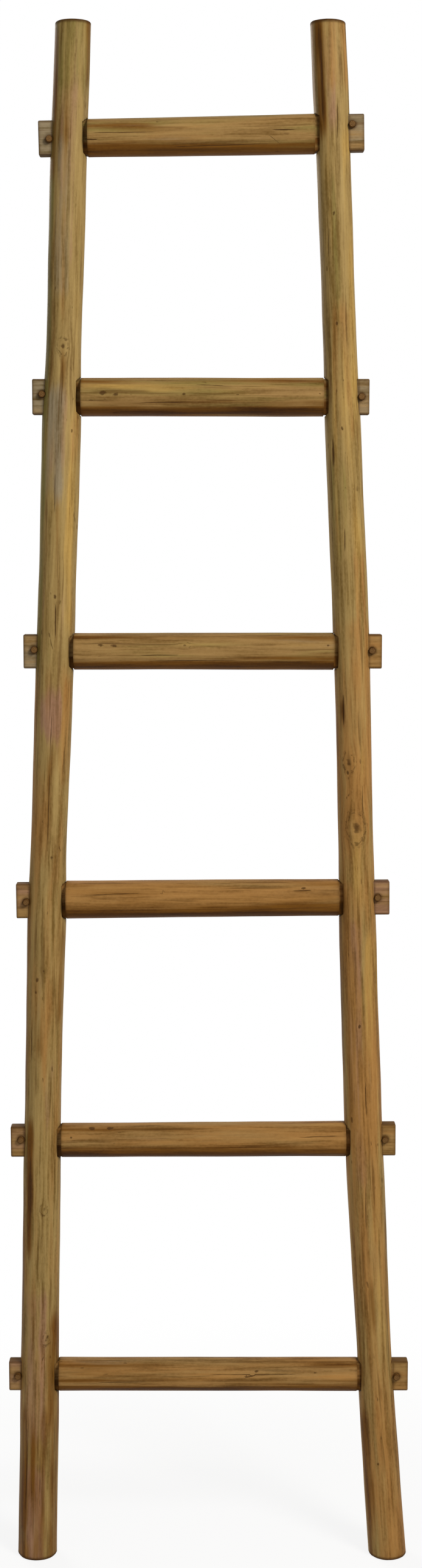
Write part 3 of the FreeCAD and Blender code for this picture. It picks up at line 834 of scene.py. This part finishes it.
RUNG_MARKS = {
    6: (("check", -0.139, 7, -0.060, 5, 0.0014), ("check", -0.148, -14, -0.133, -14, 0.0020),
        ("check", 0.076, 5, 0.104, 5, 0.0017), ("check", 0.072, -8, 0.088, -40, 0.0010),
        ("check", -0.050, -41, 0.072, -36, 0.0016), ("spot", -0.0605, 41, 0.0030)),
    5: (("spot", -0.1277, 10, 0.0050), ("spot", -0.1130, 6, 0.0045), ("spot", -0.0295, 6, 0.0026),
        ("check", -0.085, -20, -0.028, -19, 0.0013), ("check", -0.020, 39, 0.030, 30, 0.0012),
        ("spot", 0.1351, 7, 0.0022)),
    4: (("spot", -0.1325, 22, 0.0046), ("spot", -0.1165, 20, 0.0044), ("knot", -0.0291, 21, 0.0042),
        ("check", -0.085, -10, -0.037, -9, 0.0015), ("check", -0.075, -30, 0.040, -26, 0.0016),
        ("spot", 0.1482, 21, 0.0024)),
    3: (("check", 0.105, 31, 0.130, 33, 0.0019), ("check", -0.155, 22, -0.085, 28, 0.0013),
        ("spot", 0.119, 40, 0.0034), ("check", -0.060, 20, -0.055, 38, 0.0010)),
    2: (("spot", -0.1478, 56, 0.0050), ("spot", -0.1254, 57, 0.0046), ("spot", -0.1743, 24, 0.0024),
        ("check", 0.112, 20, 0.165, 24, 0.0011)),
    1: (("spot", 0.0614, 30, 0.0050), ("check", 0.045, 7, 0.062, 17, 0.0018),
        ("spot", 0.1376, 25, 0.0028),
        ("check", 0.0, 18, 0.120, 19, 0.0014), ("check", -0.145, -11, -0.080, -8, 0.0012)),
}
# the rungs grow darker from their middle down to their undersides: stain gathered there, and painted
# shade, for the light leaves them dark as well; a dark band also runs along their top edges
RUNG_TONES = {
    6: (("olive", -0.2, 0.2, -180, 180, 0.30), ("umber", -0.20, 0.20, 46, 60, 0.45),
        ("umber", -0.20, 0.20, -30, -14, 0.40), ("umber", -0.20, 0.20, -100, -30, 0.90),
        ("bark", -0.20, 0.20, -64, -40, 0.40),
        ("umber", -0.16, -0.06, 18, 38, 0.45), ("rust", -0.08, 0.02, -20, 30, 0.30),
        ("umber", 0.02, 0.16, 8, 20, 0.30)),
    5: (("olive", -0.2, 0.2, -180, 180, 0.30), ("umber", -0.2, 0.2, 44, 62, 0.60),
        ("umber", -0.2, 0.2, -32, -8, 0.50), ("umber", -0.2, 0.2, -100, -30, 0.95),
        ("bark", -0.2, 0.2, -66, -34, 0.60),
        ("umber", -0.09, 0.12, -26, -12, 0.75), ("honey", -0.16, 0.16, 14, 40, 0.30)),
    4: (("olive", -0.2, 0.2, -180, 180, 0.30), ("umber", -0.2, 0.2, 42, 62, 0.50),
        ("umber", -0.2, 0.2, -30, -8, 0.45), ("umber", -0.2, 0.2, -100, -28, 0.95),
        ("bark", -0.2, 0.2, -66, -34, 0.60),
        ("umber", -0.09, 0.12, -26, -14, 0.70), ("honey", -0.16, 0.16, 16, 42, 0.30)),
    3: (("rust", -0.2, 0.2, -180, 180, 0.60), ("umber", -0.2, 0.2, -180, 180, 0.28),
        ("umber", -0.2, 0.2, 42, 60, 0.40),
        ("umber", -0.16, -0.02, 18, 34, 0.45), ("umber", 0.08, 0.17, 0, 30, 0.40),
        ("umber", -0.2, 0.2, -28, -8, 0.50), ("umber", -0.2, 0.2, -100, -22, 0.95),
        ("bark", -0.2, 0.2, -66, -34, 0.66)),
    2: (("rust", -0.21, 0.21, -180, 180, 0.60), ("umber", -0.21, 0.21, -180, 180, 0.24),
        ("umber", -0.21, 0.21, 40, 60, 0.50),
        ("mauve", -0.20, -0.04, 0, 26, 0.35), ("umber", -0.21, 0.21, -24, -4, 0.50),
        ("umber", -0.21, 0.21, -100, -20, 0.95), ("bark", -0.21, 0.21, -66, -32, 0.66)),
    1: (("rust", -0.21, 0.21, -180, 180, 0.55), ("umber", -0.21, 0.21, -180, 180, 0.26),
        ("umber", -0.21, 0.21, 42, 60, 0.55),
        ("umber", -0.21, 0.21, -10, 6, 0.65), ("umber", 0.0, 0.21, -26, -8, 0.50),
        ("umber", -0.21, 0.21, -100, -22, 0.92), ("bark", -0.21, 0.21, -66, -30, 0.66)),
}
TENON_TONES = {
    "left": (("mauve", 0.40), ("mauve", 0.42), ("mauve", 0.40), ("ash", 0.60), ("ash", 0.80), ("ash", 0.85)),
    "right": (("rust", 0.45), ("rust", 0.35), ("mauve", 0.45), ("rust", 0.60), ("ash", 0.55), ("ash", 0.60)),
}
RUNG_SIDES, TENON_SIDES, PEG_HOLE_SIDES = 100, 92, 40
RUNG_STEP = 0.0026
SHOULDER_WEAR, TENON_WEAR, TENON_CORNER, LEAST_CORNER = 0.0008, 0.0016, 0.0022, 0.0005
# how deep the tenon's shape starts inside the rung, and its rings from there to its worn end
TENON_ROOT, TENON_RINGS = 0.008, 45
PEG_HOLE_GAP, PEG_HOLE_CUT = 0.0001, 0.02
# the stain on a tenon's long edges: how strong, how far from them it starts and how soon it is full
EDGE_STAIN, EDGE_STAIN_FROM, EDGE_STAIN_SOFT = 0.85, 0.0032, 0.0020
# how far past the shoulder a point counts as the tenon's, and how many of the stile's radii past it
# the stile's outer wall is
PAST_SHOULDER, OUTER_WALL = 0.0006, 1.93
# the tenons' tone runs on past their tips
PAST_TIP = 0.1


def tenon_length(side, rung):
    return SHOULDER_GAP + 2 * stile_radius(side, rung) + TENON_REACH[side][rung - 1]


def peg_middle(side, rung):
    """Where a peg's middle is on a level rung: close to the stile's round, beside the mortise."""
    half_mortise = TENON_THICKNESS / 2 + MORTISE_GAP
    stile_edge = math.sqrt(stile_radius(side, rung)**2 - half_mortise**2)
    x = stile_axis(side, rung) + OUTWARD[side] * (stile_edge + PEG_STILE_GAP + PEG_RADIUS)
    return x, 0, PEG_RISE[side][rung - 1]


def make_tenon(side, rung, shoulder):
    """A flat tenon with worn edges, from inside the rung's round to its end, on a level rung."""
    outward = OUTWARD[side]
    half_y, half_z = TENON_THICKNESS / 2, tenon_half_height(side, rung)
    end = shoulder + outward * tenon_length(side, rung)
    start = shoulder - outward * TENON_ROOT
    turn = np.radians([90, 66, 45, 22, 0])
    inset = TENON_WEAR * (1 - np.sin(turn))
    along = np.concatenate([np.linspace(start, end - outward * TENON_WEAR, TENON_RINGS + 1)[:-1],
                            end - outward * TENON_WEAR * (1 - np.cos(turn))])
    shrink = np.concatenate([np.zeros(TENON_RINGS), inset])
    rings = np.array([tenon_ring(x, half_y - less, half_z - less, max(TENON_CORNER - less, LEAST_CORNER),
                                 TENON_SIDES) for x, less in zip(along, shrink)])
    if outward < 0:
        rings = rings[::-1]
    return sweep("tenon", tilted(rings, rung), rung_wood)


def stain_on_rung(mesh, rung, shoulders):
    """Stain gathers along the tenons' edges and at their tips, and stain with painted shade darkens
    the shoulders and the wood round the pegs. The tenons' end faces are sawn."""
    level = levelled(read_vectors(mesh, "co"), rung)
    stain, sawn = np.zeros(len(level)), np.zeros(len(level))
    for side in BOTH_SIDES:
        past = (level[:, 0] - shoulders[side]) * OUTWARD[side]
        from_tip = tenon_length(side, rung) - past
        x, _, z = peg_middle(side, rung)
        from_peg = np.hypot(level[:, 0] - x, level[:, 2] - z) - PEG_RADIUS
        from_stile = past - SHOULDER_GAP - OUTER_WALL * stile_radius(side, rung)
        near_edge = np.abs(level[:, 2]) - tenon_half_height(side, rung) + EDGE_STAIN_FROM
        # on the tenon: stain along its edges and at its tip, stain and painted shade round the peg hole, and
        # a darkening where it comes out of the stile
        on_tenon = np.maximum.reduce([
            EDGE_STAIN * np.clip(near_edge / EDGE_STAIN_SOFT, 0, 1), gathered("tenon_tip", from_tip),
            gathered("peg_hole", from_peg), gathered("stile_wall", from_stile)])
        # at the shoulder, where the rung meets the stile, stain and painted shade darken the round
        on_round = np.maximum(stain, gathered("shoulder", past))
        stain = np.where(past > PAST_SHOULDER, on_tenon, on_round)
        sawn[abs(from_tip) < SAME_PLACE] = 1
    return stain, sawn


for rung in RUNGS:
    shoulders = {side: stile_axis(side, rung) - OUTWARD[side] * (stile_radius(side, rung) + SHOULDER_GAP)
                 for side in BOTH_SIDES}
    length = shoulders["right"] - shoulders["left"]
    steps = np.linspace(0, length, round(length / RUNG_STEP))
    ends = [rung_radius(side, rung) for side in BOTH_SIDES]
    steps, radii = worn_ends(steps, ends[0] + (ends[1] - ends[0]) * steps / length, SHOULDER_WEAR)
    level = np.stack([shoulders["left"] + steps, np.zeros(len(steps)), np.zeros(len(steps))], axis=1)
    piece = wrap_pole(f"rung_{rung}_wood", tilted(level, rung), radii, rung_wood, seed=20.0 + 3 * rung,
                      sides=RUNG_SIDES, lumps=0.0012, flats=0.0012, fibres=0.0003)
    for side in BOTH_SIDES:
        merge_shapes(piece, make_tenon(side, rung, shoulders[side]), "UNION")
        hole = np.array([round_ring(y, PEG_RADIUS + PEG_HOLE_GAP, PEG_HOLE_SIDES)[:, [1, 0, 2]]
                         for y in (PEG_HOLE_CUT, -PEG_HOLE_CUT)])
        hole = tilted(hole + peg_middle(side, rung), rung)
        merge_shapes(piece, sweep("hole", hole, rung_wood), "DIFFERENCE")
    # the rung's own tones end inside the stiles, and its tenons have theirs
    patches = [(tone, max(low, stile_axis("left", rung)), min(high, stile_axis("right", rung)), *rest)
               for tone, low, high, *rest in on_the_back_too(RUNG_TONES[rung], shift=0.03)]
    for side in BOTH_SIDES:
        tone, share = TENON_TONES[side][rung - 1]
        middle = stile_axis(side, rung)
        low, high = sorted((middle, middle + OUTWARD[side] * PAST_TIP))
        patches.append((tone, low, high, -180, 180, share))
    stain, sawn = stain_on_rung(piece.data, rung, shoulders)
    finish_skin(piece, 0, lambda along: rung_height(rung, along), RUNG_MARKS[rung], patches,
                grain_start=5.1 + 1.7 * rung, stain=stain, sawn=sawn)
    piece.data.shade_smooth()
    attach(piece, "root")
    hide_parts(f"rung_{rung}")


# ---- The twelve pegs ----
# A whittled round peg is driven through each tenon from front to back, close against the stile, and
# stands out of both faces of the tenon.

peg_wood = peeled_wood("peg_wood", "#725027")
PEG_SIDES, PEG_RINGS, PEG_WEAR = 32, 30, 0.0009
PEG_FACE_STAIN, PEG_FACE_SAWN = 0.42, 0.4

for rung in RUNGS:
    for side in BOTH_SIDES:
        half = TENON_THICKNESS / 2 + PEG_STAND_OUT
        steps = np.linspace(0, 2 * half, PEG_RINGS)
        steps, radii = worn_ends(steps, np.full(len(steps), PEG_RADIUS), PEG_WEAR)
        centre = tilted(peg_middle(side, rung), rung)
        points = centre + np.stack([np.zeros(len(steps)), steps - half, np.zeros(len(steps))], axis=1)
        number = 2 * rung + BOTH_SIDES.index(side)
        peg = wrap_pole(f"peg_{rung}_{side}_wood", points, radii, peg_wood, seed=50.0 + number,
                        sides=PEG_SIDES, lumps=0.0004, flats=0.0005, fibres=0.0001)
        grain = read_vectors(peg.data, "grain")
        from_end = np.minimum(grain[:, 2], 2 * half - grain[:, 2])
        at_end = from_end < SAME_PLACE
        # near both ends the peg's sides are darkened by stain and painted shade, a dark ring round each end
        stain = np.where(at_end, PEG_FACE_STAIN, gathered("peg_end", from_end))
        write_attribute(peg.data, "stain", stain)
        write_attribute(peg.data, "sawn", PEG_FACE_SAWN * at_end)
        # each peg is split from a place of its own in the wood
        write_attribute(peg.data, "grain", grain + (0.003, 0.004, 20 + number))
        peg.data.shade_smooth()
        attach(peg, "root")
        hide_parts(f"peg_{rung}_{side}")
